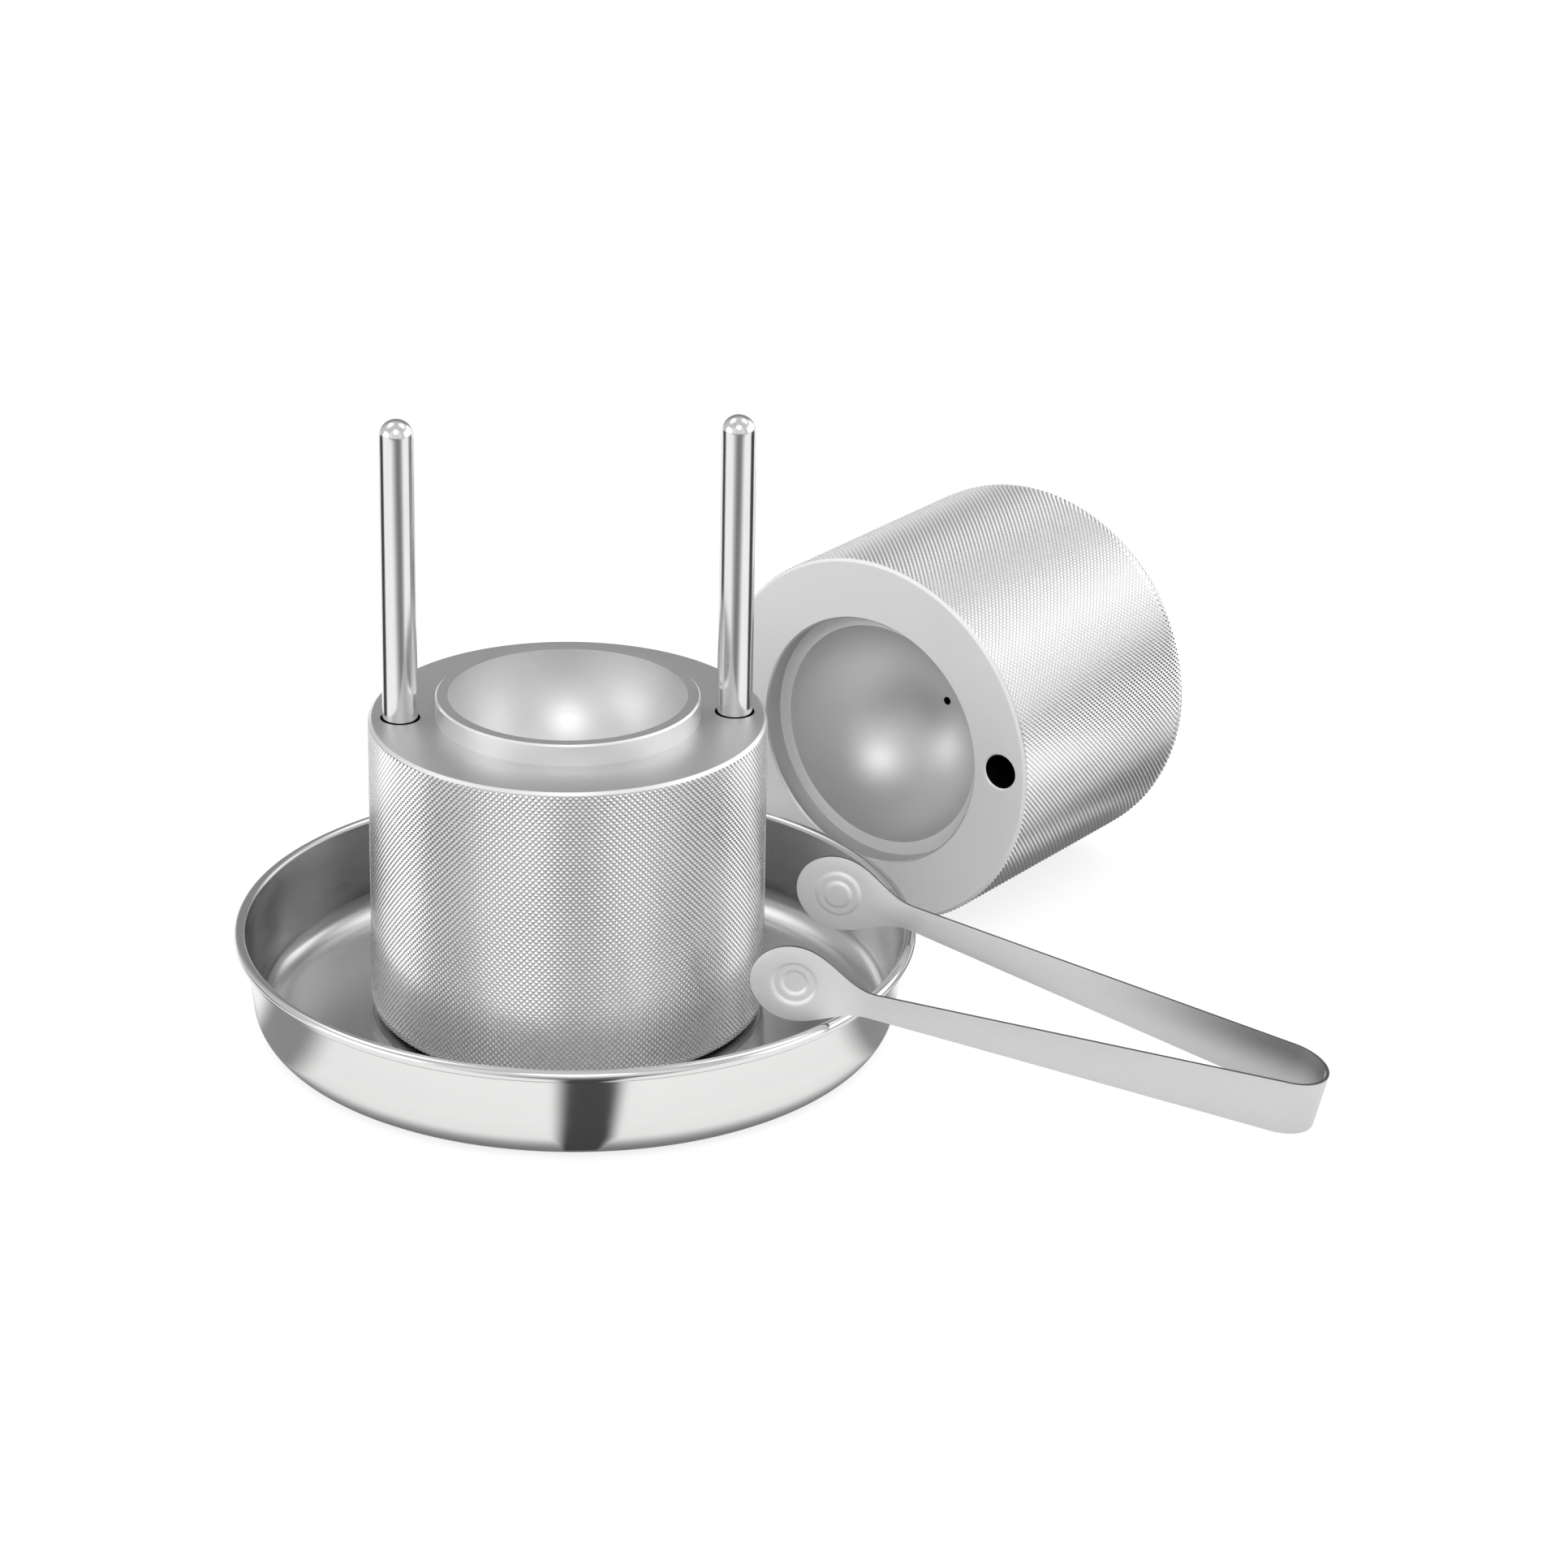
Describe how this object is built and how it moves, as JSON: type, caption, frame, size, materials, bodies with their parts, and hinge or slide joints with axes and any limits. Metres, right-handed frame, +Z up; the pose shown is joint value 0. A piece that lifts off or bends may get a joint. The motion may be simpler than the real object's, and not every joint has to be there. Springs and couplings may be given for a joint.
{
  "type": "ice ball press",
  "caption": "Two-part knurled metal mould on guide rods that melts ice into a ball, with its upper half laid beside it, a round drip tray and spring tongs",
  "frame": {"origin": "middle of the drip tray's underside, on the table", "axes": "+Z up, +X to the viewer's right, past the tongs' bow, +Y away from the viewer, past the lying upper half"},
  "size_m": [0.2453, 0.2169, 0.1422],
  "materials": {
    "mould_aluminium": "satin turned faces with a fine diamond knurl round the side",
    "rod_steel": "polished ground rod",
    "screw_steel": "plain machined",
    "tray_steel": "bright pressed sheet",
    "tongs_steel": "satin strip"
  },
  "bodies": {
    "tray": {"drip_tray": "tray_steel"},
    "lower_half": {"lower_mould": "mould_aluminium", "left_guide_rod": "rod_steel", "right_guide_rod": "rod_steel", "left_rod_screw": "screw_steel", "right_rod_screw": "screw_steel"},
    "upper_half": {"upper_mould": "mould_aluminium"},
    "tongs": {"tongs_bow": "tongs_steel"},
    "near_arm": {"tongs_near_arm": "tongs_steel"},
    "far_arm": {"tongs_far_arm": "tongs_steel"}
  },
  "joints": [
    {"name": "lower_mould_lift", "type": "slide", "parent": "tray", "child": "lower_half", "axis": [0, 0, 1], "range_m": [0, 0.1]},
    {"name": "upper_mould_lift", "type": "slide", "parent": "tray", "child": "upper_half", "axis": [0, 0, 1], "range_m": [0, 0.15]},
    {"name": "tongs_lift", "type": "slide", "parent": "tray", "child": "tongs", "axis": [0, 0, 1], "range_m": [0, 0.15]},
    {"name": "tongs_near_squeeze", "type": "hinge", "parent": "tongs", "child": "near_arm", "pos_m": [0.15685, -0.04587, 0.00831], "axis": [-0.2199, 0.0451, -0.9745], "range_deg": [0, 11.5], "stiffness_Nm_per_rad": 2, "deforming": ["tongs_bow"]},
    {"name": "tongs_far_squeeze", "type": "hinge", "parent": "tongs", "child": "far_arm", "pos_m": [0.15685, -0.04587, 0.00831], "axis": [0.2199, -0.0451, 0.9745], "range_deg": [0, 11.5], "stiffness_Nm_per_rad": 2}
  ],
  "couplings": [
    {"joint": "tongs_far_squeeze", "follows": "tongs_near_squeeze", "ratio": 1}
  ]
}
